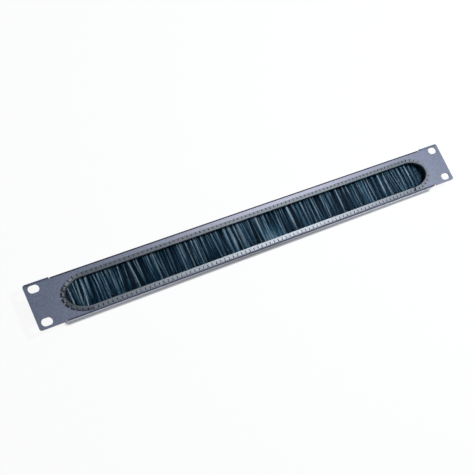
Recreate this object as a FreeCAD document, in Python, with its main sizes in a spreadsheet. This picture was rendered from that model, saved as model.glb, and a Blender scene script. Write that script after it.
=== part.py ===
"""Brush panel for a 19 inch rack, one unit high.

Frame, in millimetres: +X along the panel, +Y towards its top edge, +Z out of its face. The origin is the centre
of the four rack slots, on the rear face of the ears, so the face is one sheet thickness above it.
"""

import FreeCAD, Part
import math
import os
import random
import re

import Sketcher
from FreeCAD import Placement, Rotation, Vector

DRIVING_SIZES = [
    ("panel_length", 482.6, "over both ears, the 19 inch rack width"),
    ("panel_height", 43.7, "one rack unit less its clearance"),
    ("ear_width", 24.9, "from the end of the panel to the flanged part"),
    ("ear_corner_radius", 2.4, ""),
    ("sheet", 1.2, "thickness of the folded steel"),
    ("bend_radius", 0.4, "inside the bend of each flange"),
    ("flange_depth", 12.5, "from the face to the free edge"),
    ("flange_inset", 0.35, "how far a flange's outer face lies inside the ear's edge"),
    ("flange_corner_radius", 1.5, "at the ends of the free edge"),
    ("relief_width", 1.5, "notch between each ear and the end of a bend"),
    ("slot_end_distance", 8.75, "from the middle of a rack slot to the end of the panel"),
    ("slot_edge_distance", 5.975, "from the middle of a rack slot to the nearer long edge"),
    ("slot_length", 10.6, ""),
    ("slot_width", 7.3, ""),
    ("opening_side_margin", 5.7, "mean of the two gaps between the cut-out and the ears"),
    ("opening_centre_x", 1.2, "how far the cut-out sits to the right of the middle"),
    ("opening_top_margin", 8.9, "above the cut-out, wide enough for the brush's rail"),
    ("opening_bottom_margin", 5.2, "below the cut-out"),
    ("opening_end_length", 21.0, "length of each rounded end of the cut-out"),
    ("nose_radius", 11.2, "arc at the very end of the cut-out"),
    ("trim_fit", 0.05, "between the edging's web and the rim of the cut-out"),
    ("trim_web", 1.0, "thickness of the edging's web inside the rim"),
    ("trim_lip", 1.1, "thickness of the edging's lips beside its web"),
    ("trim_tip", 0.9, "thickness of the edging's lips at the tips of the teeth"),
    ("trim_lip_reach", 4.3, "from the web's inner surface to the tips of the teeth"),
    ("trim_bevel", 0.35, "where the web turns into a lip"),
    ("tooth_pitch", 4.75, "along the edging"),
    ("tooth_slit", 0.8, "between two teeth"),
    ("tooth_root", 1.9, "uncut band, from the web's inner surface"),
    ("first_slit", 1.1, "from the edging's end on the lower run"),
    ("nose_flare", 22.0, "degrees that a tooth lifts at the left nose, where the strip has buckled"),
    ("shoulder_flare", 14.0, "degrees that a tooth lifts at the left shoulders"),
    ("right_flare", 3.0, "degrees that a tooth lifts round the right end"),
    ("joint_place", 2.4, "from the edging's rounded end to the start of the right shoulder"),
    ("joint_gap", 1.4, "between the two ends of the edging"),
    ("joint_round", 2.0, "both corners of the edging's rounded end"),
    ("brush_depth", 5.6, "from the rear face of the sheet to the middle of the bristles"),
    ("strip_width", 3.4, "brush channel, front to back"),
    ("strip_height", 3.2, "brush channel, up and down"),
    ("brush_overrun", 7.5, "how far the brush passes each end of the cut-out"),
    ("strip_wall", 0.5, "brush channel"),
    ("core_diameter", 1.0, "wire that the bristles are folded round"),
    ("core_fit", 0.05, "between the wire and the fold of the bristles"),
    ("bristle_thickness", 1.8, "front to back, below the channel"),
    ("bristle_overlap", 3.0, "how far the tips reach behind the lower edging"),
    ("tuft_width", 5.0, "mean width of a bundle of filaments"),
    ("tuft_gap", 0.6, "mean gap between two bundles"),
    ("row_gap", 0.1, "between the front and the rear bundles"),
    ("rail_end_fit", 0.5, "from each end of the brush to the end of the rail"),
    ("rail_width", 5.6, "front to back"),
    ("rail_back", 3.0, "thickness above the channel, which takes the screws"),
    ("rail_lip", 0.7, "thickness of the two lips that carry the channel"),
    ("rail_mouth", 2.6, "slot between the lips"),
    ("rail_fit", 0.2, "above the channel, and half of it on each side"),
    ("rail_edge_radius", 0.5, ""),
    ("screw_count", 4, ""),
    ("screw_end_distance", 10.5, "from the end of the rail to the first screw"),
    ("screw_diameter", 3.0, ""),
    ("screw_head_diameter", 5.5, "countersunk at 90 degrees"),
    ("screw_length", 4.0, "overall, head included"),
    ("screw_fit", 0.05, "round the screw"),
    ("screw_socket", 2.0, "hexagon socket across its flats"),
    ("screw_socket_depth", 0.9, ""),
]

DERIVED_SIZES = [
    ("flange_face", "panel_height / 2 - flange_inset", "outer face of a flange"),
    ("bend_line", "flange_face - sheet - bend_radius", "where the flat of the face ends"),
    ("flange_inner_face", "flange_face - sheet", ""),
    ("ear_start", "panel_length / 2 - ear_width", ""),
    ("flange_end", "ear_start - relief_width", ""),
    ("slot_pitch_x", "panel_length - 2 * slot_end_distance", "rack hole spacing across the rack"),
    ("slot_pitch_y", "panel_height - 2 * slot_edge_distance", "rack hole spacing up the rack"),
    ("opening_length", "2 * (ear_start - opening_side_margin)", "cut-out in the sheet, end to end"),
    (
        "opening_height",
        "panel_height - opening_top_margin - opening_bottom_margin",
        "cut-out in the sheet, between its straight runs",
    ),
    ("opening_centre_y", "(opening_bottom_margin - opening_top_margin) / 2", ""),
    ("strip_length", "opening_length + 2 * brush_overrun", "brush channel and bristles"),
    ("rail_length", "strip_length + 2 * rail_end_fit", ""),
    ("screw_pitch", "(rail_length - 2 * screw_end_distance) / (screw_count - 1)", ""),
    (
        "run_end",
        "opening_length / 2 - opening_end_length",
        "where a straight run meets its shoulder, like the next lengths from the middle of the cut-out",
    ),
    ("half_opening", "opening_height / 2", ""),
    (
        "shoulder_radius",
        "((opening_end_length - nose_radius) ^ 2 + half_opening ^ 2 - nose_radius ^ 2)"
        " / (2 * (half_opening - nose_radius))",
        "arc that is tangent to a run and to the nose arc",
    ),
    ("nose_centre", "opening_length / 2 - nose_radius", ""),
    (
        "arc_join_x",
        "nose_centre + nose_radius * (nose_centre - run_end) / (shoulder_radius - nose_radius)",
        "where the nose arc meets a shoulder",
    ),
    (
        "arc_join_y",
        "nose_radius * (shoulder_radius - half_opening) / (shoulder_radius - nose_radius)",
        "measured from the middle of the cut-out",
    ),
    ("socket_top", "flange_inner_face - rail_back", "roof of the rail's socket"),
    ("strip_top", "socket_top - rail_fit", ""),
    ("strip_bottom", "strip_top - strip_height", ""),
    ("rail_bottom", "strip_bottom - rail_lip", ""),
    ("core_centre", "strip_top - strip_wall - core_diameter", "height of the core wire"),
    ("tuft_bottom", "opening_centre_y - half_opening - bristle_overlap + trim_web", ""),
    ("first_screw", "-screw_pitch * (screw_count - 1) / 2", ""),
]

doc = FreeCAD.newDocument("BrushPanel")
sheet = doc.addObject("Spreadsheet::Sheet", "Dimensions")


def fill_sheet():
    """One row for each size: its name, its value or formula, and what it measures."""
    rows = DRIVING_SIZES + [(name, "=" + formula, note) for name, formula, note in DERIVED_SIZES]
    for row, (name, value, note) in enumerate(rows, start=1):
        sheet.set(f"A{row}", name)
        sheet.set(f"B{row}", str(value))
        sheet.setAlias(f"B{row}", name)
        sheet.set(f"C{row}", note)
    doc.recompute()


def size(name):
    return float(sheet.get(name))


def bound(formula):
    """The formula with each name in it read from the sheet."""
    names = "|".join(row[0] for row in DRIVING_SIZES + DERIVED_SIZES)
    return re.sub(rf"\b({names})\b", r"Dimensions.\1", formula)


def number(formula):
    return float(sheet.evalExpression(bound(formula)))


def new_body(label):
    body = doc.addObject("PartDesign::Body", label)
    body.Label = label
    return body


def new_sketch(body, name, plane):
    sketch = body.newObject("Sketcher::SketchObject", name)
    support = next(feature for feature in body.Origin.OriginFeatures if feature.Role == plane)
    sketch.AttachmentSupport = [(support, "")]
    sketch.MapMode = "FlatFace"
    return sketch


def fix_point(sketch, geometry, position, x_formula, y_formula):
    """Ties a point's place to the sheet; a formula of None leaves that direction free."""
    for kind, formula in (("DistanceX", x_formula), ("DistanceY", y_formula)):
        if formula is None:
            continue
        index = sketch.addConstraint(
            Sketcher.Constraint(kind, -1, 1, geometry, position, number(formula))
        )
        sketch.setExpression(f"Constraints[{index}]", bound(formula))


def draw_outline(sketch, corners, arcs=None):
    """Closed outline through corners, each a pair of formulas.

    arcs maps the index of a span's first corner to (centre x, centre y, turn), where turn is 1 for an arc that
    runs anticlockwise and -1 for one that runs clockwise. The other spans are straight.
    """
    arcs = arcs or {}
    points = [Vector(number(x), number(y), 0) for x, y in corners]
    first = sketch.GeometryCount
    ends = []
    for i, start in enumerate(points):
        stop = points[(i + 1) % len(points)]
        if i not in arcs:
            geometry = sketch.addGeometry(Part.LineSegment(start, stop))
            ends.append((geometry, 1, 2))
            continue
        centre_x, centre_y, turn = arcs[i]
        centre = Vector(number(centre_x), number(centre_y), 0)
        low, high = (start, stop) if turn > 0 else (stop, start)
        angles = [math.atan2(p.y - centre.y, p.x - centre.x) for p in (low, high)]
        if angles[1] < angles[0]:
            angles[1] += 2 * math.pi
        circle = Part.Circle(centre, Vector(0, 0, 1), (low - centre).Length)
        geometry = sketch.addGeometry(Part.ArcOfCircle(circle, *angles))
        ends.append((geometry, 1, 2) if turn > 0 else (geometry, 2, 1))
    for i, (geometry, start, stop) in enumerate(ends):
        following = ends[(i + 1) % len(ends)]
        sketch.addConstraint(Sketcher.Constraint("Coincident", geometry, stop, following[0], following[1]))
        fix_point(sketch, geometry, start, *corners[i])
    for i, (centre_x, _, _) in arcs.items():
        fix_point(sketch, first + i, 3, centre_x, None)


def draw_slot(sketch, centre_x, centre_y, length, width):
    """Obround along the sketch's first direction, from formulas."""
    left = f"{centre_x} - ({length} - {width}) / 2"
    right = f"{centre_x} + ({length} - {width}) / 2"
    low = f"{centre_y} - {width} / 2"
    high = f"{centre_y} + {width} / 2"
    draw_outline(
        sketch,
        [(left, low), (right, low), (right, high), (left, high)],
        {1: (right, centre_y, 1), 3: (left, centre_y, 1)},
    )


def pad(body, sketch, name, length, symmetric=False):
    feature = body.newObject("PartDesign::Pad", name)
    feature.Profile = sketch
    feature.setExpression("Length", bound(length))
    feature.SideType = "Symmetric" if symmetric else "One side"
    return feature


def cut_through(body, sketch, name):
    feature = body.newObject("PartDesign::Pocket", name)
    feature.Profile = sketch
    feature.Type = "ThroughAll"
    feature.SideType = "Symmetric"
    return feature


def fillet_edges(body, name, base, radius, chosen):
    """Rounds the edges of base whose middle point and direction satisfy chosen."""
    doc.recompute()
    names = []
    for index, edge in enumerate(base.Shape.Edges, start=1):
        if edge.Length > 1e-6 and edge.Curve.TypeId == "Part::GeomLine":
            middle = edge.valueAt((edge.FirstParameter + edge.LastParameter) / 2)
            if chosen(middle, edge.tangentAt(edge.FirstParameter)):
                names.append(f"Edge{index}")
    feature = body.newObject("PartDesign::Fillet", name)
    feature.Base = (base, names)
    feature.setExpression("Radius", bound(radius))
    return feature


def drill_for_screws(body):
    """Countersunk holes for the rail's screws, from the outer face of the top flange to the rail's socket."""
    sketch = new_sketch(body, body.Label + "_screw_places", "XZ_Plane")
    sketch.setExpression(".AttachmentOffset.Base.z", bound("0 - flange_face"))
    for i in range(int(size("screw_count"))):
        x = f"first_screw + {i} * screw_pitch"
        circle = Part.Circle(Vector(number(x), number("0 - brush_depth"), 0), Vector(0, 0, 1), 1)
        geometry = sketch.addGeometry(circle)
        fix_point(sketch, geometry, 3, x, "0 - brush_depth")
        index = sketch.addConstraint(Sketcher.Constraint("Diameter", geometry, size("screw_diameter")))
        sketch.setExpression(f"Constraints[{index}]", bound("screw_diameter"))
    doc.recompute()
    hole = body.newObject("PartDesign::Hole", body.Label + "_screw_holes")
    hole.Profile = sketch
    hole.Reversed = True
    hole.ThreadType = "None"
    hole.DepthType = "Dimension"
    hole.DrillPoint = "Flat"
    hole.HoleCutType = "Countersink"
    hole.HoleCutCustomValues = True
    hole.setExpression("Diameter", bound("screw_diameter + 2 * screw_fit"))
    hole.setExpression("HoleCutDiameter", bound("screw_head_diameter + 2 * screw_fit"))
    hole.HoleCutCountersinkAngle = 90
    hole.setExpression("Depth", bound("flange_face - socket_top"))
    return hole


def build_front_panel():
    body = new_body("front_panel")

    face = new_sketch(body, "face_outline", "XY_Plane")
    ear_x, end_x = "ear_start", "panel_length / 2"
    low_ear, high_ear = "0 - panel_height / 2", "panel_height / 2"
    draw_outline(
        face,
        [
            ("0 - ear_start", "0 - bend_line"),
            (ear_x, "0 - bend_line"),
            (ear_x, low_ear),
            (end_x, low_ear),
            (end_x, high_ear),
            (ear_x, high_ear),
            (ear_x, "bend_line"),
            ("0 - ear_start", "bend_line"),
            ("0 - ear_start", high_ear),
            ("0 - panel_length / 2", high_ear),
            ("0 - panel_length / 2", low_ear),
            ("0 - ear_start", low_ear),
        ],
    )
    pad(body, face, "face_sheet", "sheet")

    flanges = new_sketch(body, "flange_sections", "YZ_Plane")
    for sign, turn in (("", -1), ("0 - ", 1)):
        line, inner, outer = sign + "bend_line", sign + "flange_inner_face", sign + "flange_face"
        edge = "sheet - flange_depth"
        draw_outline(
            flanges,
            [
                (line, "sheet"),
                (outer, "0 - bend_radius"),
                (outer, edge),
                (inner, edge),
                (inner, "0 - bend_radius"),
                (line, "0"),
            ],
            {0: (line, "0 - bend_radius", turn), 4: (line, "0 - bend_radius", -turn)},
        )
    folded = pad(body, flanges, "folded_flanges", "2 * flange_end", symmetric=True)

    end_x, edge_z = size("panel_length") / 2, size("sheet") - size("flange_depth")
    ears = fillet_edges(
        body,
        "ear_corners",
        folded,
        "ear_corner_radius",
        lambda p, t: abs(t.z) > 0.99 and abs(abs(p.x) - end_x) < 1e-3,
    )
    fillet_edges(
        body,
        "flange_corners",
        ears,
        "flange_corner_radius",
        lambda p, t: abs(t.y) > 0.99 and abs(p.z - edge_z) < 1e-3,
    )

    opening = new_sketch(body, "cable_opening_outline", "XY_Plane")
    centre, middle = "opening_centre_x", "opening_centre_y"
    top, bottom = f"{middle} + half_opening", f"{middle} - half_opening"
    left_run, right_run = f"{centre} - run_end", f"{centre} + run_end"
    left_join, right_join = f"{centre} - arc_join_x", f"{centre} + arc_join_x"
    join_top, join_bottom = f"{middle} + arc_join_y", f"{middle} - arc_join_y"
    above, below = f"{top} - shoulder_radius", f"{bottom} + shoulder_radius"
    draw_outline(
        opening,
        [
            (left_run, bottom),
            (right_run, bottom),
            (right_join, join_bottom),
            (right_join, join_top),
            (right_run, top),
            (left_run, top),
            (left_join, join_top),
            (left_join, join_bottom),
        ],
        {
            1: (right_run, below, 1),
            2: (f"{centre} + nose_centre", middle, 1),
            3: (right_run, above, 1),
            5: (left_run, above, 1),
            6: (f"{centre} - nose_centre", middle, 1),
            7: (left_run, below, 1),
        },
    )
    cut_through(body, opening, "cable_opening")

    slots = new_sketch(body, "rack_slot_outlines", "XY_Plane")
    for side in ("", "0 - "):
        for row in ("", "0 - "):
            draw_slot(slots, side + "slot_pitch_x / 2", row + "slot_pitch_y / 2", "slot_length", "slot_width")
    cut_through(body, slots, "rack_slots")

    body.Tip = drill_for_screws(body)


def build_brush_rail():
    """Extruded rail on the inner face of the top flange, with a socket that the brush channel slides into."""
    body = new_body("brush_rail")
    section = new_sketch(body, "rail_section", "YZ_Plane")
    front, back = "rail_width / 2 - brush_depth", "0 - rail_width / 2 - brush_depth"
    socket_front = "(strip_width + rail_fit) / 2 - brush_depth"
    socket_back = "0 - (strip_width + rail_fit) / 2 - brush_depth"
    mouth_front, mouth_back = "rail_mouth / 2 - brush_depth", "0 - rail_mouth / 2 - brush_depth"
    draw_outline(
        section,
        [
            ("flange_inner_face", back),
            ("flange_inner_face", front),
            ("rail_bottom", front),
            ("rail_bottom", mouth_front),
            ("strip_bottom", mouth_front),
            ("strip_bottom", socket_front),
            ("socket_top", socket_front),
            ("socket_top", socket_back),
            ("strip_bottom", socket_back),
            ("strip_bottom", mouth_back),
            ("rail_bottom", mouth_back),
            ("rail_bottom", back),
        ],
    )
    profile = pad(body, section, "rail_profile", "rail_length", symmetric=True)
    low, half_width, middle = size("rail_bottom"), size("rail_width") / 2, -size("brush_depth")
    fillet_edges(
        body,
        "rail_edges",
        profile,
        "rail_edge_radius",
        lambda p, t: abs(t.x) > 0.99 and abs(p.y - low) < 1e-3 and abs(abs(p.z - middle) - half_width) < 1e-3,
    )
    body.Tip = drill_for_screws(body)


def build_brush_channel():
    """Folded channel, open downwards, that the bristles are crimped into."""
    body = new_body("brush_channel")
    section = new_sketch(body, "channel_section", "YZ_Plane")
    front, back = "strip_width / 2 - brush_depth", "0 - strip_width / 2 - brush_depth"
    inner_front = "strip_width / 2 - strip_wall - brush_depth"
    inner_back = "0 - strip_width / 2 + strip_wall - brush_depth"
    roof = "strip_top - strip_wall"
    draw_outline(
        section,
        [
            ("strip_top", back),
            ("strip_top", front),
            ("strip_bottom", front),
            ("strip_bottom", inner_front),
            (roof, inner_front),
            (roof, inner_back),
            ("strip_bottom", inner_back),
            ("strip_bottom", back),
        ],
    )
    profile = pad(body, section, "channel_profile", "strip_length", symmetric=True)
    top, half_width, middle = size("strip_top"), size("strip_width") / 2, -size("brush_depth")
    fillet_edges(
        body,
        "channel_bends",
        profile,
        "strip_wall",
        lambda p, t: abs(t.x) > 0.99 and abs(p.y - top) < 1e-3 and abs(abs(p.z - middle) - half_width) < 1e-3,
    )


def build_core_wire():
    wire = doc.addObject("Part::Cylinder", "core_wire")
    wire.Label = "core_wire"
    wire.Placement = Placement(Vector(), Rotation(Vector(0, 1, 0), 90))
    wire.setExpression("Radius", bound("core_diameter / 2"))
    wire.setExpression("Height", bound("strip_length"))
    wire.setExpression(".Placement.Base.x", bound("0 - strip_length / 2"))
    wire.setExpression(".Placement.Base.y", bound("core_centre"))
    wire.setExpression(".Placement.Base.z", bound("0 - brush_depth"))


def build_rail_screw(index):
    """Countersunk screw with a hexagon socket, its head flush with the top flange."""
    body = new_body(f"rail_screw_{index + 1}")
    section = new_sketch(body, f"screw_section_{index + 1}", "XY_Plane")
    shank, head = "screw_diameter / 2", "screw_head_diameter / 2"
    draw_outline(
        section,
        [
            ("0", "0 - screw_length"),
            (shank, "0 - screw_length"),
            (shank, f"{shank} - {head}"),
            (head, "0"),
            ("0", "0"),
        ],
    )
    turned = body.newObject("PartDesign::Revolution", f"turned_screw_{index + 1}")
    turned.Profile = section
    turned.ReferenceAxis = (section, ["V_Axis"])
    turned.Angle = 360

    recess = new_sketch(body, f"socket_outline_{index + 1}", "XZ_Plane")
    half_flats = "screw_socket / 2"
    corner = f"{half_flats} / cos(30 deg)"
    draw_outline(
        recess,
        [
            (f"{corner} / 2", half_flats),
            (f"0 - {corner} / 2", half_flats),
            (f"0 - {corner}", "0"),
            (f"0 - {corner} / 2", f"0 - {half_flats}"),
            (f"{corner} / 2", f"0 - {half_flats}"),
            (corner, "0"),
        ],
    )
    socket = body.newObject("PartDesign::Pocket", f"hexagon_socket_{index + 1}")
    socket.Profile = recess
    socket.Reversed = True
    socket.setExpression("Length", bound("screw_socket_depth"))
    body.setExpression(".Placement.Base.x", bound(f"first_screw + {index} * screw_pitch"))
    body.setExpression(".Placement.Base.y", bound("flange_face"))
    body.setExpression(".Placement.Base.z", bound("0 - brush_depth"))


def rim_spans(inset):
    """The rim of the cut-out, moved inwards by inset, from the edging's joint anticlockwise round to it.

    Each span is (start, stop, centre, flare in degrees); a straight run has no centre.
    """
    run, nose_x = size("run_end"), size("nose_centre")
    half = size("half_opening") - inset
    shoulder, nose = size("shoulder_radius") - inset, size("nose_radius") - inset
    reach = size("arc_join_x") - nose_x
    join_x = nose_x + reach * nose / size("nose_radius")
    join_y = size("arc_join_y") * nose / size("nose_radius")

    def right_end(shoulder_flare, nose_flare):
        return [
            ((run, -half), (join_x, -join_y), (run, shoulder - half), shoulder_flare),
            ((join_x, -join_y), (join_x, join_y), (nose_x, 0), nose_flare),
            ((join_x, join_y), (run, half), (run, half - shoulder), shoulder_flare),
        ]

    def turned(spans):
        """The same spans after half a turn about the middle of the cut-out."""
        return [tuple((-p[0], -p[1]) for p in span[:3]) + span[3:] for span in spans]

    joint = run - size("joint_place")
    first_run = [((joint, -half), (run, -half), None, 0.0)]
    top_run = [((run, half), (-run, half), None, 0.0)]
    bottom_run = [((-run, -half), (joint - size("joint_gap"), -half), None, 0.0)]
    left_end = turned(right_end(size("shoulder_flare"), size("nose_flare")))
    spans = first_run + right_end(size("right_flare"), size("right_flare")) + top_run + left_end + bottom_run
    centre = Vector(size("opening_centre_x"), size("opening_centre_y"), 0)
    return [tuple(p and centre + Vector(*p, 0) for p in span[:3]) + span[3:] for span in spans]


def span_length(span):
    start, stop, centre, _ = span
    if centre is None:
        return (stop - start).Length
    return (start - centre).Length * (start - centre).getAngle(stop - centre)


def place_on(span, distance):
    """Point and outward direction at a distance along a span."""
    start, stop, centre, _ = span
    if centre is None:
        along = (stop - start).normalize()
        return start + along * distance, Vector(along.y, -along.x, 0)
    turn = Rotation(Vector(0, 0, 1), math.degrees(distance / (start - centre).Length))
    outward = turn.multVec(start - centre)
    return centre + outward, outward.normalize()


def lip_thickness(reach):
    """Thickness of a lip at a distance from the web's inner surface; it thins out towards the tips."""
    lip, bevel = size("trim_lip"), size("trim_bevel")
    return lip - (lip - size("trim_tip")) * (reach - bevel) / (size("trim_lip_reach") - bevel)


def edging_profile(origin, outward, reach):
    """U section of the edging, its lips ending at reach from the web's inner surface."""
    lip, web, bevel = size("trim_lip"), size("trim_web"), size("trim_bevel")
    top, bottom = size("sheet") + lip, -lip
    tip, tip_thickness = reach - web, lip_thickness(reach)
    corners = [
        (bevel - web, bottom),
        (tip, -tip_thickness),
        (tip, 0),
        (0, 0),
        (0, size("sheet")),
        (tip, size("sheet")),
        (tip, size("sheet") + tip_thickness),
        (bevel - web, top),
        (-web, top - bevel),
        (-web, bottom + bevel),
    ]
    points = [origin + outward * across + Vector(0, 0, height) for across, height in corners]
    return Part.Face(Part.makePolygon(points + points[:1]))


def straight_edging(span, teeth):
    """The edging along a straight run: its full section, extruded, its front lip slit between two teeth."""
    start, stop, _, _ = span
    along = (stop - start).normalize()
    _, outward = place_on(span, 0)
    strip = edging_profile(start, outward, size("trim_lip_reach")).extrude(stop - start)
    root, depth = size("tooth_root") - size("trim_web"), size("trim_lip_reach")
    low, height = Vector(0, 0, size("sheet") / 2), size("sheet") + size("trim_lip")
    slits = []
    for (_, left), (right, _) in zip(teeth, teeth[1:]):
        corner = start + along * left + outward * root + low
        edge = [corner, corner + along * (right - left)]
        edge += [point + outward * depth for point in reversed(edge)]
        slits.append(Part.Face(Part.makePolygon(edge + edge[:1])).extrude(Vector(0, 0, height)))
    return strip.cut(slits)


def curved_edging(span):
    """The edging's uncut band round an arc of the rim."""
    start, stop, centre, _ = span
    _, outward = place_on(span, 0)
    angle = math.degrees((start - centre).getAngle(stop - centre))
    return edging_profile(start, outward, size("tooth_root")).revolve(centre, Vector(0, 0, 1), angle)


def tooth_limits(spans):
    """Start and end of each tooth along the edging, counted back from its end on the lower run."""
    total = sum(span_length(span) for span in spans)
    pitch, slit = size("tooth_pitch"), size("tooth_slit")
    slits = []
    place = size("first_slit")
    while place < total - slit:
        slits.append(place)
        place += pitch
    starts = [0.0] + [s + slit / 2 for s in slits]
    stops = [s - slit / 2 for s in slits] + [total]
    return [(total - stop, total - start) for start, stop in zip(starts, stops)][::-1]


def edging_tooth(span, first, last, side):
    """One tooth of a lip, from inside the uncut band to its tip; side is 1 on the face and -1 behind it."""
    sunk, web = 0.3, size("trim_web")
    start, reach = size("tooth_root") - sunk, size("trim_lip_reach")
    place, outward = place_on(span, (first + last) / 2)
    section = [(0, 0), (reach - start, 0), (reach - start, lip_thickness(reach)), (0, lip_thickness(start))]
    corners = [Vector(along, (first - last) / 2, side * height) for along, height in section]
    tooth = Part.Face(Part.makePolygon(corners + corners[:1])).extrude(Vector(0, last - first, 0))
    tooth.rotate(Vector(), Vector(0, 1, 0), -side * span[3])
    heading = math.degrees(math.atan2(outward.y, outward.x))
    tooth.rotate(Vector(), Vector(0, 0, 1), heading)
    tooth.translate(place + outward * (start - web) + Vector(0, 0, size("sheet") if side > 0 else 0))
    return tooth


def joint_cutters(span):
    """What is cut off the two corners of the edging's rounded end, which faces -X on the lower run."""
    start, _ = place_on(span, 0)
    radius, lip = size("joint_round"), size("trim_lip")
    height = size("sheet") + 2 * lip
    upper = start.y + size("trim_web")
    lower = upper - size("trim_lip_reach")
    cutters = []
    for low, centre_y in ((upper - radius, upper - radius), (lower, lower + radius)):
        block = Part.makeBox(radius, radius, height, Vector(start.x, low, -lip))
        drum = Part.makeCylinder(radius, height, Vector(start.x + radius, centre_y, -lip))
        cutters.append(block.cut(drum))
    return cutters


def build_edge_trim():
    """Castellated strip of U section, pushed over the rim of the cut-out; its teeth fan open round the ends."""
    spans = rim_spans(size("trim_fit"))
    limits = tooth_limits(spans)
    pitch = size("tooth_pitch")
    parts = []
    offset = 0.0
    for span in spans:
        length = span_length(span)
        teeth = [(first - offset, last - offset) for first, last in limits]
        if span[2] is None:
            near = [(first, last) for first, last in teeth if last > -pitch and first < length + pitch]
            parts.append(straight_edging(span, near))
        else:
            parts.append(curved_edging(span))
        for first, last in teeth:
            centred = 0 <= (first + last) / 2 < length
            if centred and (span[2] or first < 0 or last > length):
                parts += [edging_tooth(span, first, last, side) for side in (1, -1)]
        offset += length
    parts[0] = parts[0].cut(joint_cutters(spans[0]))
    trim = doc.addObject("Part::Feature", "edge_trim")
    trim.Label = "edge_trim"
    trim.Shape = parts[0].multiFuse(parts[1:]).Solids[0]


def tuft_row(seed, front):
    """One row of bundles hanging from the channel: bundles of uneven width that lean together in groups."""
    chance = random.Random(seed)
    top, bottom = size("strip_bottom"), size("tuft_bottom")
    mean, gap = size("tuft_width"), size("tuft_gap")
    end = size("strip_length") / 2
    points = [Vector(-end, top, front)]
    x = -end
    while x < end - 2 * mean:
        group = []
        for _ in range(chance.choice((2, 3, 3, 4, 5))):
            width = mean * chance.uniform(0.6, 1.4)
            group.append((x, x + width))
            x += width + gap * chance.uniform(0.3, 1.3)
        middle = (group[0][0] + group[-1][1]) / 2
        pull = chance.uniform(0.04, 0.14)
        for left, right in group:
            if right > end:
                break
            low = bottom + chance.uniform(0, 0.6)
            points.append(Vector(left, top, front))
            points.append(Vector(left + (middle - left) * pull, low, front))
            points.append(Vector(right + (middle - right) * pull, low, front))
            points.append(Vector(right, top, front))
    points.append(Vector(end, top, front))
    return points


def build_bristles():
    """Two rows of bundles under a band that fills the channel and wraps the core wire."""
    middle, thickness = -size("brush_depth"), size("bristle_thickness")
    top, bottom = size("strip_top") - size("strip_wall"), size("strip_bottom")
    inner = size("strip_width") - 2 * size("strip_wall")
    length = size("strip_length")
    band = Part.makeBox(length, top - bottom, inner, Vector(-length / 2, bottom, middle - inner / 2))
    core = Part.makeCylinder(
        size("core_diameter") / 2 + size("core_fit"),
        length,
        Vector(-length / 2, size("core_centre"), middle),
        Vector(1, 0, 0),
    )
    curtain = [band.cut(core)]
    crown = Vector(0, (top - bottom) / 4, 0)
    depth = (thickness - size("row_gap")) / 2
    for seed, front in ((5, middle + thickness / 2 - depth), (11, middle - thickness / 2)):
        points = tuft_row(seed, front)
        outline = [points[0] + crown] + points + [points[-1] + crown]
        row = Part.Face(Part.makePolygon(outline + outline[:1]))
        curtain.append(row.extrude(Vector(0, 0, depth)))
    bristles = doc.addObject("Part::Feature", "bristles")
    bristles.Label = "bristles"
    bristles.Shape = curtain[0].multiFuse(curtain[1:]).Solids[0]


def sub_parts():
    kinds = ("PartDesign::Body", "Part::Cylinder", "Part::Feature")
    return [item for item in doc.Objects if item.TypeId in kinds]


def check_document():
    doc.recompute()
    failed = [item.Name for item in doc.Objects if {"Invalid", "Error"} & set(item.State)]
    if failed:
        raise RuntimeError(f"these objects did not build: {failed}")
    for part in sub_parts():
        if part.Shape.isNull() or not part.Shape.isValid():
            raise RuntimeError(f"{part.Label} has no valid shape")


def write_steps():
    os.makedirs("parts", exist_ok=True)
    for part in sub_parts():
        part.Shape.exportStep(f"parts/{part.Label}.step")
        print(f"{part.Label}: {part.Shape.Volume:.1f} mm3, {len(part.Shape.Solids)} solid")


fill_sheet()
build_front_panel()
build_edge_trim()
build_brush_rail()
build_brush_channel()
build_core_wire()
build_bristles()
for screw in range(int(size("screw_count"))):
    build_rail_screw(screw)
check_document()
write_steps()
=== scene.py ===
"""Looks of a brush panel for a 19 inch rack, one unit high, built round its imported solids.

Frame, in metres: +X along the panel, +Y towards its top edge, +Z out of its face. The panel lies face up
on the free edges of its two flanges.
"""

import math
import random

import bpy
import numpy as np
from mathutils import Matrix, Vector


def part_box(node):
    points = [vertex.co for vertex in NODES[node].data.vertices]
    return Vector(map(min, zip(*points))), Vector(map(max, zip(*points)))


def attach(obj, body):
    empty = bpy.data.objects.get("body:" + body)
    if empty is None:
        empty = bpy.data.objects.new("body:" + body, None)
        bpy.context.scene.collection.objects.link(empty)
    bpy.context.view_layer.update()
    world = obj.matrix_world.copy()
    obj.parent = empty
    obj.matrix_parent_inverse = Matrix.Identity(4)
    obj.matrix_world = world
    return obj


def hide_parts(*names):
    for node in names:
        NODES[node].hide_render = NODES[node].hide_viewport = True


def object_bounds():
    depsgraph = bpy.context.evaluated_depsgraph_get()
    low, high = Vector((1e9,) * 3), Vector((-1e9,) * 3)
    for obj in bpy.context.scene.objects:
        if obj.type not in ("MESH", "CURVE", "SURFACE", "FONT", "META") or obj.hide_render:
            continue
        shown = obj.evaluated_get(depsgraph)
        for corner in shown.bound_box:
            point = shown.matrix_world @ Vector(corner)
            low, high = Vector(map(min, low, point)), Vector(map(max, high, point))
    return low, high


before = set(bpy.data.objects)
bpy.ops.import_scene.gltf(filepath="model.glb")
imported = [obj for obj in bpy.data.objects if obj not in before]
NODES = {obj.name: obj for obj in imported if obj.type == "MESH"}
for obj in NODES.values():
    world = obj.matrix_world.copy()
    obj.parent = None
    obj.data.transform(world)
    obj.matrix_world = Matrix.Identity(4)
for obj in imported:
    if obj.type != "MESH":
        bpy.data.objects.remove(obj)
solid_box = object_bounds()

MM = 0.001

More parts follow.
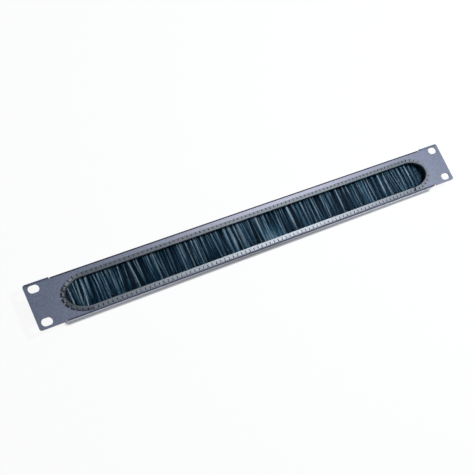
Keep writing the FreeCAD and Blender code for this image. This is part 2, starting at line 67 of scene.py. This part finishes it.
# Where the edging's straight runs end and where its joint lies, in millimetres along the panel.
RUN_END = 186.0
JOINT_START, JOINT_STOP = 186.9, 190.6

# ---------------------------------------------------------------- finishes


def new_finish(name):
    """A material with a node tree and its shader."""
    finish = bpy.data.materials.new(name)
    finish.use_nodes = True
    shader = finish.node_tree.nodes["Principled BSDF"]
    return finish, finish.node_tree, shader


def add_node(tree, kind, **settings):
    node = tree.nodes.new(kind)
    for name, value in settings.items():
        setattr(node, name, value)
    return node


def place(tree):
    """Where a point is on the object, in metres."""
    return add_node(tree, "ShaderNodeTexCoord").outputs["Object"]


def axes(tree, vector):
    """The three parts of a vector."""
    parts = add_node(tree, "ShaderNodeSeparateXYZ")
    tree.links.new(vector, parts.inputs[0])
    return tuple(parts.outputs)


def stretched(tree, vector, scale):
    """The coordinates scaled by a different amount each way."""
    mapping = add_node(tree, "ShaderNodeMapping")
    mapping.inputs["Scale"].default_value = scale
    tree.links.new(vector, mapping.inputs["Vector"])
    return mapping.outputs["Vector"]


def grain(tree, vector, scale, detail=3.0, roughness=0.55):
    """Soft noise between 0 and 1; scale is in cycles per metre."""
    noise = add_node(tree, "ShaderNodeTexNoise")
    noise.inputs["Scale"].default_value = scale
    noise.inputs["Detail"].default_value = detail
    noise.inputs["Roughness"].default_value = roughness
    tree.links.new(vector, noise.inputs["Vector"])
    return noise.outputs["Fac"]


def graded(tree, value, stops):
    """A colour ramp; stops are (position, colour)."""
    ramp = add_node(tree, "ShaderNodeValToRGB")
    elements = ramp.color_ramp.elements
    while len(elements) < len(stops):
        elements.new(0.5)
    for element, (position, colour) in zip(elements, stops):
        element.position = position
        element.color = (*colour, 1.0)
    tree.links.new(value, ramp.inputs["Fac"])
    return ramp.outputs["Color"]


def spread(tree, value, low, high):
    """Maps 0.25 to 0.75 of a noise onto low to high."""
    span = add_node(tree, "ShaderNodeMapRange")
    for name, number in (("From Min", 0.25), ("From Max", 0.75), ("To Min", low), ("To Max", high)):
        span.inputs[name].default_value = number
    tree.links.new(value, span.inputs["Value"])
    return span.outputs["Result"]


def risen(tree, value, start, stop):
    """0 on the near side of start, 1 beyond stop; start may be the larger of the two."""
    span = add_node(tree, "ShaderNodeMapRange")
    span.inputs["From Min"].default_value = start
    span.inputs["From Max"].default_value = stop
    tree.links.new(value, span.inputs["Value"])
    return span.outputs["Result"]


def worked(tree, operation, *values):
    """A sum on one to three values, which are numbers or sockets."""
    sum_node = add_node(tree, "ShaderNodeMath", operation=operation)
    for socket, value in zip(sum_node.inputs, values):
        if isinstance(value, bpy.types.NodeSocket):
            tree.links.new(value, socket)
        else:
            socket.default_value = value
    return sum_node.outputs[0]


def within(tree, value, low, high):
    """1 where the value lies between low and high, otherwise 0."""
    band = add_node(tree, "ShaderNodeMath", operation="COMPARE")
    band.inputs[1].default_value = (low + high) / 2
    band.inputs[2].default_value = (high - low) / 2
    tree.links.new(value, band.inputs[0])
    return band.outputs[0]


def blended(tree, factor, first, second):
    """Two colours mixed by a factor, which is a number or a socket."""
    mix = add_node(tree, "ShaderNodeMix", data_type="RGBA")
    for socket, value in ((mix.inputs[0], factor), (mix.inputs[6], first), (mix.inputs[7], second)):
        if isinstance(value, bpy.types.NodeSocket):
            tree.links.new(value, socket)
        elif isinstance(value, tuple):
            socket.default_value = (*value, 1.0)
        else:
            socket.default_value = value
    return mix.outputs[2]


def raised(tree, shader, height, depth, strength=1.0):
    """Bump from a height between 0 and 1, whose full swing is depth metres."""
    bump = add_node(tree, "ShaderNodeBump")
    bump.inputs["Strength"].default_value = strength
    bump.inputs["Distance"].default_value = depth
    tree.links.new(height, bump.inputs["Height"])
    tree.links.new(bump.outputs["Normal"], shader.inputs["Normal"])


def flange_painted_light(tree, x, y, z):
    """Share of a painted lighter colour on the outside of the flanges: painted light, as they gather more
    light towards their ends.

    It is 0.2 in the middle and rises to 0.95 at the right end and 0.8 at the left one.
    """
    outer = risen(tree, worked(tree, "ABSOLUTE", y), 21.2 * MM, 21.4 * MM)
    below = worked(tree, "MULTIPLY", outer, risen(tree, z, 0.1 * MM, -0.5 * MM))
    right = worked(tree, "MULTIPLY_ADD", risen(tree, x, 0.0, 140.0 * MM), 0.75, 0.2)
    along = worked(tree, "MULTIPLY_ADD", risen(tree, x, -20.0 * MM, -140.0 * MM), 0.6, right)
    return worked(tree, "MULTIPLY", below, along)


def painted_bend_shade(tree, y, z):
    """How much painted shade darkens the panel along the outside of its two bends and at the free edges of
    its flanges.

    On the upper bend the dark starts at the flat of the face, on the lower one it lies further round.
    """
    outer = risen(tree, worked(tree, "ABSOLUTE", y), 19.7 * MM, 20.0 * MM)
    upper = risen(tree, y, 0.0, 1.0 * MM)
    shift = worked(tree, "MULTIPLY_ADD", upper, -0.54 * MM, 0.40 * MM)
    round_bend = worked(tree, "ADD", z, shift)
    below_face = risen(tree, round_bend, 1.16 * MM, 0.95 * MM)
    above_flange = risen(tree, round_bend, -1.0 * MM, -0.4 * MM)
    bend = worked(tree, "MULTIPLY", below_face, above_flange)
    # Painted shade at the free edges of the flanges, beside the floor.
    free_edge = worked(tree, "MULTIPLY", risen(tree, z, -9.6 * MM, -10.8 * MM), 0.5)
    return worked(tree, "MULTIPLY", outer, worked(tree, "MAXIMUM", bend, free_edge))


def painted_shade_under_edging(tree, x, y):
    """How much painted shade darkens the face under the edging's lower run, which shows through its slits
    and its joint.
    """
    low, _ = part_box("edge_trim")
    margin = 0.15 * MM
    along = within(tree, x, -RUN_END * MM, RUN_END * MM)
    across = within(tree, y, low.y + margin, 0.0)
    joint = within(tree, x, JOINT_START * MM, JOINT_STOP * MM)
    below = within(tree, y, low.y, 0.0)
    runs = worked(tree, "MULTIPLY", along, across)
    return worked(tree, "MAXIMUM", runs, worked(tree, "MULTIPLY", joint, below))


def powder_coat():
    """Charcoal powder coat: orange peel, faint clouding, painted light on the flanges' outsides, and
    painted shade along the bends and under the edging.
    """
    finish, tree, shader = new_finish("panel_powder_coat")
    where = place(tree)
    x, y, z = axes(tree, where)
    cloud = graded(
        tree,
        grain(tree, where, 55.0, 4.0),
        [(0.3, (0.104, 0.144, 0.214)), (0.7, (0.122, 0.164, 0.240))],
    )
    speck = grain(tree, where, 900.0, 2.0)
    colour = blended(tree, spread(tree, speck, 0.0, 0.3), cloud, (0.17, 0.20, 0.27))
    mottle = grain(tree, where, 620.0, 2.0)
    colour = blended(tree, spread(tree, mottle, 0.0, 0.75), colour, (0.038, 0.052, 0.082))
    # Painted light: the flanges' outsides are painted lighter towards their ends.
    colour = blended(tree, flange_painted_light(tree, x, y, z), colour, (0.76, 0.80, 0.88))
    # Painted shade: the bends, the flanges' free edges and the face under the edging are painted
    # near-black, and metallic there dims their reflection.
    dark = worked(tree, "MAXIMUM", painted_bend_shade(tree, y, z), painted_shade_under_edging(tree, x, y))
    tree.links.new(blended(tree, dark, colour, (0.010, 0.013, 0.020)), shader.inputs["Base Color"])
    tree.links.new(dark, shader.inputs["Metallic"])
    tree.links.new(spread(tree, grain(tree, where, 260.0), 0.37, 0.42), shader.inputs["Roughness"])
    shader.inputs["Specular IOR Level"].default_value = 1.0
    shader.inputs["Specular Tint"].default_value = (1.0, 0.90, 0.94, 1.0)
    raised(tree, shader, grain(tree, where, 1100.0, 2.0), 0.00006, 0.55)
    return finish


def edging_nylon():
    """Grey nylon edging: smooth and slightly waxy, with painted shade on its colour and reflection round
    its left end and inside its joint, and painted light at its right end.
    """
    finish, tree, shader = new_finish("edging_nylon")
    where = place(tree)
    x, y, _ = axes(tree, where)
    colour = graded(
        tree,
        grain(tree, where, 120.0, 3.0),
        [(0.3, (0.022, 0.034, 0.047)), (0.7, (0.032, 0.046, 0.061))],
    )
    # Painted shade round the left end and painted light at the right end.
    colour = blended(tree, risen(tree, x, -198.0 * MM, -209.0 * MM), colour, (0.004, 0.006, 0.008))
    colour = blended(tree, risen(tree, x, 190.0 * MM, 210.0 * MM), colour, (0.060, 0.072, 0.082))
    # Painted shade inside the joint.
    joint = within(tree, x, (JOINT_START - 0.2) * MM, (JOINT_START + 1.8) * MM)
    joint = worked(tree, "MULTIPLY", joint, risen(tree, y, 0.0, -1.0 * MM))
    tree.links.new(blended(tree, joint, colour, (0.006, 0.007, 0.009)), shader.inputs["Base Color"])
    # Painted shade: metallic on the dark colour dims the reflection round the upper left end and inside the
    # joint.
    left_end = risen(tree, x, -200.0 * MM, -209.0 * MM)
    painted_dim_reflection = worked(tree, "MULTIPLY", left_end, risen(tree, y, -6.0 * MM, 0.0))
    painted_dim_reflection = worked(tree, "MULTIPLY", painted_dim_reflection, 0.6)
    tree.links.new(worked(tree, "MAXIMUM", joint, painted_dim_reflection), shader.inputs["Metallic"])
    tree.links.new(spread(tree, grain(tree, where, 400.0), 0.39, 0.45), shader.inputs["Roughness"])
    shader.inputs["Specular IOR Level"].default_value = 1.0
    raised(tree, shader, grain(tree, where, 700.0, 2.0), 0.00004, 0.4)
    return finish


def bristle_fibre():
    """Near-black glossy filaments; their tone attribute lightens single ones and whole tufts with painted
    sheen and painted shade as well as random tone.
    """
    finish, tree, shader = new_finish("bristle_fibre")
    tone = add_node(tree, "ShaderNodeAttribute", attribute_name="tone")
    # The tone ramp's lighter stops are painted sheen and its darkest are painted shade.
    colour = graded(
        tree,
        tone.outputs["Fac"],
        [
            (0.0, (0.000, 0.002, 0.010)),
            (0.2, (0.012, 0.084, 0.150)),
            (0.45, (0.094, 0.208, 0.285)),
            (0.7, (0.196, 0.320, 0.385)),
            (1.0, (0.460, 0.560, 0.620)),
        ],
    )
    tree.links.new(colour, shader.inputs["Base Color"])
    shader.inputs["Roughness"].default_value = 0.45
    shader.inputs["Specular IOR Level"].default_value = 0.1
    return finish


def zinc_plate():
    """Bright zinc with a faint cloudy crystal pattern."""
    finish, tree, shader = new_finish("zinc_plate")
    where = place(tree)
    spangle = add_node(tree, "ShaderNodeTexVoronoi", feature="F1")
    spangle.inputs["Scale"].default_value = 420.0
    tree.links.new(where, spangle.inputs["Vector"])
    colour = graded(
        tree,
        spangle.outputs["Distance"],
        [(0.0, (0.50, 0.51, 0.53)), (0.8, (0.62, 0.63, 0.64))],
    )
    tree.links.new(colour, shader.inputs["Base Color"])
    shader.inputs["Metallic"].default_value = 1.0
    tree.links.new(spread(tree, grain(tree, where, 300.0), 0.30, 0.46), shader.inputs["Roughness"])
    raised(tree, shader, grain(tree, where, 900.0, 2.0), 0.00003, 0.35)
    return finish


def black_anodised():
    """Black anodised extrusion with faint die lines along it."""
    finish, tree, shader = new_finish("black_anodised")
    where = place(tree)
    lines = grain(tree, stretched(tree, where, (6.0, 2600.0, 2600.0)), 1.0, 2.0)
    colour = graded(tree, lines, [(0.3, (0.024, 0.026, 0.029)), (0.7, (0.036, 0.038, 0.042))])
    tree.links.new(colour, shader.inputs["Base Color"])
    shader.inputs["Metallic"].default_value = 0.6
    tree.links.new(spread(tree, lines, 0.36, 0.50), shader.inputs["Roughness"])
    raised(tree, shader, lines, 0.00002, 0.5)
    return finish


def black_zinc():
    """Black screw steel, worn lighter in places."""
    finish, tree, shader = new_finish("black_zinc")
    where = place(tree)
    colour = graded(
        tree,
        grain(tree, where, 800.0, 4.0),
        [(0.35, (0.030, 0.030, 0.034)), (0.72, (0.085, 0.085, 0.09))],
    )
    tree.links.new(colour, shader.inputs["Base Color"])
    shader.inputs["Metallic"].default_value = 0.85
    tree.links.new(spread(tree, grain(tree, where, 1500.0), 0.34, 0.52), shader.inputs["Roughness"])
    raised(tree, shader, grain(tree, where, 2200.0, 2.0), 0.00002, 0.4)
    return finish


def wear(piece, finish):
    """Gives a piece one material all over."""
    piece.data.materials.clear()
    piece.data.materials.append(finish)


# ---------------------------------------------------------------- brush

# Lengths and places of the brush are in millimetres.
TUFTED_FILAMENTS, TUFTED_RADIUS, TUFTED_SEGMENTS = 16500, 0.115, 5
BACKING_FILAMENTS, BACKING_RADIUS, BACKING_SEGMENTS = 3200, 0.32, 3
BRUSH_SEED = 27
BRUSH_PIECES = 5
TUFT_WIDTHS = (0.6, 1.7)
DARK_SHARE = 0.22  # share of the tufts that stand back, with painted shade
STRAY_SHARE = 0.05  # share of the filaments that leave their tuft
BRISTLE_DEPTH = 0.95  # half the thickness of the brush below its channel
ROOT_DEPTH = 1.2  # how far the roots reach into the channel
END_MARGIN = 0.4  # bare band at each end of the brush

# Tufts that stand out lighter than the rest with painted sheen: middle of the root, width, lightness, how
# far down it stays light, and how far its tips lean along the panel.
LIGHT_TUFTS = (
    (-203.0, 1.5, 0.45, 1.3, 0.6),
    (-196.6, 2.4, 0.50, 0.8, -0.4),
    (-192.6, 2.2, 0.60, 0.7, -2.2),
    (-188.9, 2.4, 1.00, 2.6, -2.6),
    (-183.2, 3.4, 0.60, 0.8, -0.8),
    (-176.0, 1.6, 0.60, 0.6, 0.2),
    (-172.0, 2.8, 0.62, 0.5, -0.6),
    (-167.6, 1.6, 0.85, 0.9, -0.8),
    (-164.2, 1.8, 0.70, 0.5, -2.0),
    (-140.4, 1.8, 0.65, 0.9, 2.2),
    (-132.0, 2.0, 0.75, 0.9, -0.4),
    (-120.6, 2.0, 0.60, 0.6, 0.4),
    (-114.9, 1.8, 0.95, 1.0, -0.4),
    (-85.6, 1.6, 0.65, 0.8, -0.2),
    (-73.0, 1.4, 0.55, 0.6, 0.6),
    (-62.0, 1.8, 0.60, 0.8, -1.0),
    (-50.4, 2.6, 0.75, 0.9, 1.4),
    (-45.2, 1.6, 0.85, 0.6, 0.8),
    (-36.0, 4.0, 0.50, 0.7, 0.4),
    (-31.0, 4.2, 0.66, 0.8, 0.2),
    (-20.4, 1.9, 1.00, 1.4, 1.0),
    (-16.8, 1.5, 0.75, 0.4, 0.3),
    (-11.4, 2.0, 0.40, 0.9, 0.4),
    (1.0, 2.4, 0.34, 1.6, 0.2),
    (5.4, 2.2, 0.30, 2.0, -0.2),
    (9.8, 2.6, 0.36, 1.8, 0.3),
    (14.2, 2.2, 0.30, 2.0, 0.0),
    (18.6, 2.4, 0.38, 1.6, 0.4),
    (24.0, 1.6, 0.55, 0.8, 0.2),
    (38.6, 3.0, 0.60, 1.0, 0.6),
    (45.0, 1.6, 0.85, 0.4, -0.4),
    (50.6, 3.8, 0.52, 2.4, 0.0),
    (55.4, 3.4, 0.60, 2.4, 0.2),
    (64.2, 1.8, 0.60, 0.6, -0.4),
    (68.2, 1.6, 0.80, 0.9, 0.2),
    (89.0, 1.6, 0.60, 0.6, 0.4),
    (100.0, 2.0, 0.60, 0.8, -0.2),
    (113.8, 1.7, 0.75, 0.7, 0.8),
    (121.8, 2.0, 0.55, 1.0, 0.2),
    (129.6, 1.6, 0.75, 0.7, 0.4),
    (135.0, 3.2, 0.50, 1.2, 0.2),
    (138.4, 1.6, 0.70, 1.6, -0.8),
    (156.0, 3.4, 0.50, 0.9, -0.4),
    (163.6, 1.6, 0.85, 1.8, 0.6),
    (167.4, 1.1, 0.50, 1.4, 3.4),
    (170.4, 1.3, 0.60, 1.8, 4.4),
    (173.8, 1.6, 0.60, 1.2, 4.0),
    (177.2, 1.2, 0.50, 1.8, 3.0),
    (182.4, 1.8, 0.60, 2.0, 0.0),
    (188.2, 2.6, 0.34, 2.2, 0.4),
    (192.6, 3.0, 0.30, 2.2, 0.0),
    (198.4, 3.4, 0.24, 1.8, -0.2),
)

# Stretch of the brush whose lower ends carry a painted sheen: start, end and how light the sheen is.
PAINTED_SHEEN_STRETCH = (0.0, 27.0, 0.66)

# The left part of the brush is lighter: up to where in full, where that has faded out, and by what share.
LIGHTER_STRETCH = (-90.0, -55.0, 0.35)


def model_filament(segments):
    """One straight filament of unit length and unit radius, hanging down from the origin, three-sided."""
    bpy.ops.object.select_all(action="DESELECT")
    upright = (math.pi / 2, 0, 0)
    bpy.ops.mesh.primitive_circle_add(vertices=3, radius=1.0, fill_type="NGON", rotation=upright)
    filament = bpy.context.object
    bpy.ops.object.transform_apply(location=False, rotation=True, scale=False)
    bpy.ops.object.mode_set(mode="EDIT")
    for _ in range(segments):
        bpy.ops.mesh.extrude_region_move(TRANSFORM_OT_translate={"value": (0, -1.0 / segments, 0)})
    bpy.ops.mesh.select_all(action="SELECT")
    bpy.ops.mesh.normals_make_consistent(inside=False)
    bpy.ops.object.mode_set(mode="OBJECT")
    points = np.array([v.co for v in filament.data.vertices])
    faces = [tuple(p.vertices) for p in filament.data.polygons]
    bpy.data.objects.remove(filament)
    return points, faces


def plan_tufts(chance, start, stop):
    """Tufts of filaments along the brush, in millimetres.

    Each has its root's middle and width, how far its tips lean, how far it bows, how far its filaments draw
    together and how far its core stands forward. It also has how light its root is and how far down that
    reaches, how light the rest is and where along it that is strongest, and how thickly it is planted.
    """
    tufts = []
    marked = list(LIGHT_TUFTS)
    x, drift = start, 0.0
    while x < stop:
        drift = 0.8 * drift + chance.gauss(0.0, 0.35)
        shade = 0.07 + 0.56 * chance.random() ** 1.7
        if marked and x > marked[0][0] - marked[0][1]:
            middle, width, tone, reach, lean = marked.pop(0)
            crown, pull, planting, gap = 0.75, 0.3, 1.5, chance.uniform(0.3, 0.7)
        else:
            width = chance.uniform(*TUFT_WIDTHS)
            if marked:
                width = min(width, max(1.0, marked[0][0] - marked[0][1] / 2 - x))
            middle, lean = x + width / 2, drift + chance.gauss(0.0, 1.1)
            tone, reach = chance.uniform(0.0, 0.5) * shade, chance.uniform(0.4, 1.6)
            crown, pull, planting = chance.uniform(0.1, 0.6), chance.uniform(0.2, 0.8), 1.0
            gap = chance.uniform(0.1, 0.8)
            if chance.random() < DARK_SHARE:
                shade, tone, crown = 0.02, 0.0, -0.4
        tufts.append(
            {
                "x": middle,
                "width": width,
                "lean": lean,
                "bow": chance.gauss(0.0, 0.5),
                "pull": pull,
                "crown": crown,
                "core": chance.uniform(0.5, 0.9),
                "shade": shade,
                "strongest": chance.uniform(-0.2, 1.1),
                "length": chance.uniform(0.18, 0.6),
                "tone": tone,
                "reach": reach,
                "count": width * planting,
            }
        )
        x = middle + width / 2 + gap
    return tufts


def lightness(tuft, core, t):
    """How light a filament is, as painted sheen and shade, from its root (t = 0) to its tip (t = 1); core
    is 1 in its tuft's middle.
    """
    # Painted sheen: the root's lightness and the glint; the core falloff paints shade between tufts and the
    # last factor paints more light near the channel.
    root = 0.85 * tuft["tone"] * core * np.clip(1 - (t / tuft["reach"]) ** 1.5, 0, 1)
    glint = np.exp(-(((t - tuft["strongest"]) / tuft["length"]) ** 2))
    across = 1.3 * core ** 1.7 * (1 - t) + (0.25 + 0.75 * core) * t
    return root + tuft["shade"] * across * (0.42 + 1.02 * glint) * (2.5 - 2.4 * np.sqrt(t) + t)


def painted_sheen(x, t):
    """Lightness of the painted sheen on a filament at x, from its root (t = 0) to its tip (t = 1)."""
    start, stop, tone = PAINTED_SHEEN_STRETCH
    if not start < x < stop:
        return 0.0 * t
    along = (x - start) / (stop - start)
    return tone * math.sin(math.pi * along ** 0.6) ** 0.7 * np.clip((t - 0.5) / 0.35, 0, 1)


def lifted(x):
    """How many times lighter a filament at x is than one at the right end."""
    full, faded, share = LIGHTER_STRETCH
    return 1.0 + share * min(1.0, max(0.0, (faded - x) / (faded - full)))


def place_filament(unit, root_x, root_z, mouth, middle, length, radius, bend, sway):
    """The unit filament's points after it is planted, bent along X by bend and along Z by sway."""
    t = np.clip(-unit[:, 1], 0, 1)
    body = np.empty_like(unit)
    body[:, 0] = root_x + bend + unit[:, 0] * radius * (1 - 0.2 * t)
    body[:, 1] = mouth + ROOT_DEPTH - (length + ROOT_DEPTH) * t
    body[:, 2] = middle + np.clip(root_z + sway, -BRISTLE_DEPTH - 0.2, BRISTLE_DEPTH + 0.2)
    body[:, 2] += unit[:, 2] * radius
    return body


def draw_course(chance, tuft, t):
    """Root of one filament of a tuft, how near it is to the middle, and its bends along X and Z."""
    off_core = chance.uniform(-1.0, 1.0)
    root_x = tuft["x"] + tuft["width"] / 2 * off_core
    core = math.exp(-((off_core / tuft["core"]) ** 2))
    root_z = chance.uniform(-BRISTLE_DEPTH, BRISTLE_DEPTH)
    drift, bow, swell = chance.gauss(0.0, 0.3), chance.gauss(0.0, 0.2), chance.gauss(0.0, 0.12)
    if chance.random() < STRAY_SHARE:
        drift += chance.gauss(0.0, 2.6)
        bow += chance.gauss(0.0, 0.9)
    bend = (tuft["x"] - root_x) * tuft["pull"] * t + tuft["lean"] * t ** 1.5
    bend = bend + drift * t ** 2 + (tuft["bow"] + bow) * np.sin(math.pi * t)
    sway = tuft["crown"] * (core - 0.5) * np.sin(math.pi * (0.15 + 0.7 * t))
    sway = sway + swell * np.sin(2 * math.pi * t) - 0.3 * core * root_z * t
    return root_x, root_z, core, bend, sway


def brush_stretch(name, points, faces, tones):
    """One stretch of the brush as a mesh, whose tone attribute holds how light each point is."""
    mesh = bpy.data.meshes.new(name)
    mesh.from_pydata(np.concatenate(points).tolist(), [], faces)
    mesh.update()
    layer = mesh.attributes.new("tone", "FLOAT", "POINT")
    layer.data.foreach_set("value", np.concatenate(tones).astype(np.float32))
    mesh.shade_smooth()
    stretch = bpy.data.objects.new(name, mesh)
    bpy.context.collection.objects.link(stretch)
    return stretch


def brush_filaments():
    """The filaments of the brush: an even backing, and tufts that lean and draw together before it."""
    low, high = (Vector(corner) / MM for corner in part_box("bristles"))
    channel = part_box("brush_channel")
    mouth = channel[0].y / MM
    middle = (channel[0].z + channel[1].z) / 2 / MM
    chance = random.Random(BRUSH_SEED)
    reach = mouth - low.y
    first, last = low.x + END_MARGIN, high.x - END_MARGIN
    stretches = [{"points": [], "faces": [], "tones": [], "count": 0} for _ in range(BRUSH_PIECES)]

    def keep(body, faces, tone):
        x = float(body[:, 0].mean())
        stretch = stretches[min(BRUSH_PIECES - 1, int((x - low.x) / (high.x - low.x) * BRUSH_PIECES))]
        body[:, 0] = np.clip(body[:, 0], low.x + 0.2, high.x - 0.2)
        stretch["points"].append(body * MM)
        stretch["faces"] += [tuple(v + stretch["count"] for v in face) for face in faces]
        stretch["tones"].append(np.clip(tone, 0.0, 1.0))
        stretch["count"] += len(body)

    unit, faces = model_filament(BACKING_SEGMENTS)
    t = np.clip(-unit[:, 1], 0, 1)
    spacing = (high.x - low.x - 2 * END_MARGIN) / BACKING_FILAMENTS
    for n in range(BACKING_FILAMENTS):
        root_x = first + spacing * (n + chance.random())
        root_z = -0.25 - 0.5 * (n % 2) + chance.uniform(-0.15, 0.15)
        bend = chance.gauss(0.0, 0.12) * t
        length = reach - chance.uniform(0.0, 0.5)
        body = place_filament(unit, root_x, root_z, mouth, middle, length, BACKING_RADIUS, bend, 0.0 * t)
        # Painted sheen on the backing's lower ends in the stretch near the middle.
        keep(body, faces, chance.uniform(0.0, 0.06) + 0.6 * painted_sheen(root_x, t))

    unit, faces = model_filament(TUFTED_SEGMENTS)
    t = np.clip(-unit[:, 1], 0, 1)
    tufts = plan_tufts(chance, first, last)
    total = sum(tuft["count"] for tuft in tufts)
    for tuft in tufts:
        for _ in range(max(4, round(TUFTED_FILAMENTS * tuft["count"] / total))):
            root_x, root_z, core, bend, sway = draw_course(chance, tuft, t)
            length = reach - chance.uniform(0.0, 0.9)
            body = place_filament(unit, root_x, root_z, mouth, middle, length, TUFTED_RADIUS, bend, sway)
            # Painted sheen and shade of the tuft, random tone per filament, the lighter left part, and
            # painted sheen near the middle.
            light = lightness(tuft, core, t) * chance.uniform(0.55, 1.45) + chance.gauss(0.0, 0.05)
            light = light * lifted(root_x)
            keep(body, faces, light + painted_sheen(root_x, t) * chance.uniform(0.5, 1.3))

    return [
        brush_stretch(f"brush_filaments_{n}", stretch["points"], stretch["faces"], stretch["tones"])
        for n, stretch in enumerate(stretches, start=1)
    ]


# ---------------------------------------------------------------- studio

FLOOR_SIZE = 8.0  # metres
FLOOR_GAP = 0.02 * MM  # below the flanges

# Where the painted shadow under the panel begins and where it is full, across and along, from the panel's
# middle.
PAINTED_SHADOW_WIDTH = (24.0 * MM, 23.0 * MM)
PAINTED_SHADOW_LENGTH = (216.5 * MM, 212.0 * MM)

CAMERA_LENS, CAMERA_SENSOR = 72.374, 36.0  # millimetres
CAMERA_PLACE = Vector((-439.06, -168.66, 816.24)) * MM
CAMERA_RIGHT = Vector((0.84454, -0.41314, 0.34070))
CAMERA_UP = Vector((0.30195, 0.89283, 0.33418))


def lay_floor():
    """White floor under the flanges; the panel's real shadow is faint on it, and a painted shadow beside
    the flanges darkens the paper and weakens its glow.
    """
    bpy.ops.object.select_all(action="DESELECT")
    bpy.ops.mesh.primitive_plane_add(size=FLOOR_SIZE, location=(0, 0, solid_box[0].z - FLOOR_GAP))
    floor = bpy.context.object
    floor.name = "floor"
    bpy.ops.object.transform_apply(location=True, rotation=False, scale=False)
    finish = bpy.data.materials.new("floor_paper")
    finish.use_nodes = True
    tree = finish.node_tree
    tree.nodes.clear()
    out = add_node(tree, "ShaderNodeOutputMaterial")
    paper = add_node(tree, "ShaderNodeBsdfDiffuse")
    glow = add_node(tree, "ShaderNodeEmission")
    glow.inputs["Color"].default_value = (1, 1, 1, 1)
    glow.inputs["Strength"].default_value = 1.0
    path = add_node(tree, "ShaderNodeLightPath")
    seen = add_node(tree, "ShaderNodeMath", operation="MAXIMUM")
    tree.links.new(path.outputs["Is Camera Ray"], seen.inputs[0])
    tree.links.new(path.outputs["Is Glossy Ray"], seen.inputs[1])
    x, y, _ = axes(tree, place(tree))
    across = risen(tree, worked(tree, "ABSOLUTE", y), *PAINTED_SHADOW_WIDTH)
    along = risen(tree, worked(tree, "ABSOLUTE", x), *PAINTED_SHADOW_LENGTH)
    painted_shadow_mask = worked(tree, "MULTIPLY", across, along)
    # Painted shadow: beside the flanges the paper is painted grey and its glow share drops.
    glow_share = worked(tree, "MULTIPLY_ADD", painted_shadow_mask, -0.72, 0.92)
    paper_colour = blended(tree, painted_shadow_mask, (0.92, 0.915, 0.91), (0.40, 0.40, 0.40))
    tree.links.new(paper_colour, paper.inputs["Color"])
    share = worked(tree, "MULTIPLY", seen.outputs[0], glow_share)
    mix = add_node(tree, "ShaderNodeMixShader")
    tree.links.new(share, mix.inputs[0])
    tree.links.new(paper.outputs[0], mix.inputs[1])
    tree.links.new(glow.outputs[0], mix.inputs[2])
    tree.links.new(mix.outputs[0], out.inputs["Surface"])
    floor.data.materials.append(finish)


def light_room():
    """Soft room light that fades towards the horizon; the camera sees plain white."""
    world = bpy.data.worlds.new("room")
    bpy.context.scene.world = world
    world.use_nodes = True
    tree = world.node_tree
    tree.nodes.clear()
    out = add_node(tree, "ShaderNodeOutputWorld")
    toward = add_node(tree, "ShaderNodeTexCoord").outputs["Generated"]
    colour = graded(
        tree,
        axes(tree, toward)[2],
        [(0.0, (0.03, 0.03, 0.035)), (0.5, (0.16, 0.17, 0.19)), (1.0, (0.38, 0.40, 0.44))],
    )
    room = add_node(tree, "ShaderNodeBackground")
    tree.links.new(colour, room.inputs["Color"])
    white = add_node(tree, "ShaderNodeBackground")
    white.inputs["Color"].default_value = (1, 1, 1, 1)
    path = add_node(tree, "ShaderNodeLightPath")
    mix = add_node(tree, "ShaderNodeMixShader")
    tree.links.new(path.outputs["Is Camera Ray"], mix.inputs[0])
    tree.links.new(room.outputs[0], mix.inputs[1])
    tree.links.new(white.outputs[0], mix.inputs[2])
    tree.links.new(mix.outputs[0], out.inputs["Surface"])


def hang_softbox(name, direction, distance, width, height, power, colour):
    """Area lamp at a distance from the panel's middle, aimed at it."""
    lamp = bpy.data.lights.new(name, "AREA")
    lamp.shape = "RECTANGLE"
    lamp.size, lamp.size_y = width, height
    lamp.energy = power
    lamp.color = colour
    holder = bpy.data.objects.new(name, lamp)
    bpy.context.collection.objects.link(holder)
    toward = Vector(direction).normalized()
    holder.location = toward * distance
    holder.rotation_euler = (-toward).to_track_quat("-Z", "Y").to_euler()


def set_camera():
    """Camera at the photograph's place: left of the panel, a little below it, 0.95 m away."""
    camera = bpy.data.cameras.new("camera")
    camera.sensor_width = CAMERA_SENSOR
    camera.lens = CAMERA_LENS
    holder = bpy.data.objects.new("camera", camera)
    bpy.context.collection.objects.link(holder)
    turn = Matrix((CAMERA_RIGHT, CAMERA_UP, CAMERA_RIGHT.cross(CAMERA_UP))).transposed().to_4x4()
    holder.matrix_world = Matrix.Translation(CAMERA_PLACE) @ turn
    bpy.context.scene.camera = holder


# ---------------------------------------------------------------- assembly

coat = powder_coat()
nylon = edging_nylon()
fibre = bristle_fibre()
zinc = zinc_plate()
anodised = black_anodised()
screw_black = black_zinc()

wear(NODES["front_panel"], coat)
wear(NODES["edge_trim"], nylon)
wear(NODES["brush_channel"], zinc)
wear(NODES["core_wire"], zinc)
wear(NODES["brush_rail"], anodised)
for name, node in NODES.items():
    if name.startswith("rail_screw"):
        wear(node, screw_black)

brush = brush_filaments()
for stretch in brush:
    wear(stretch, fibre)
    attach(stretch, "root")
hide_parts("bristles")

lay_floor()
light_room()
hang_softbox(
    "key_softbox",
    direction=(0.495, 0.048, 0.868),
    distance=0.92,
    width=0.12,
    height=0.12,
    power=6.9,
    colour=(0.93, 1.0, 1.10),
)
set_camera()

bpy.context.scene.view_settings.view_transform = "Standard"
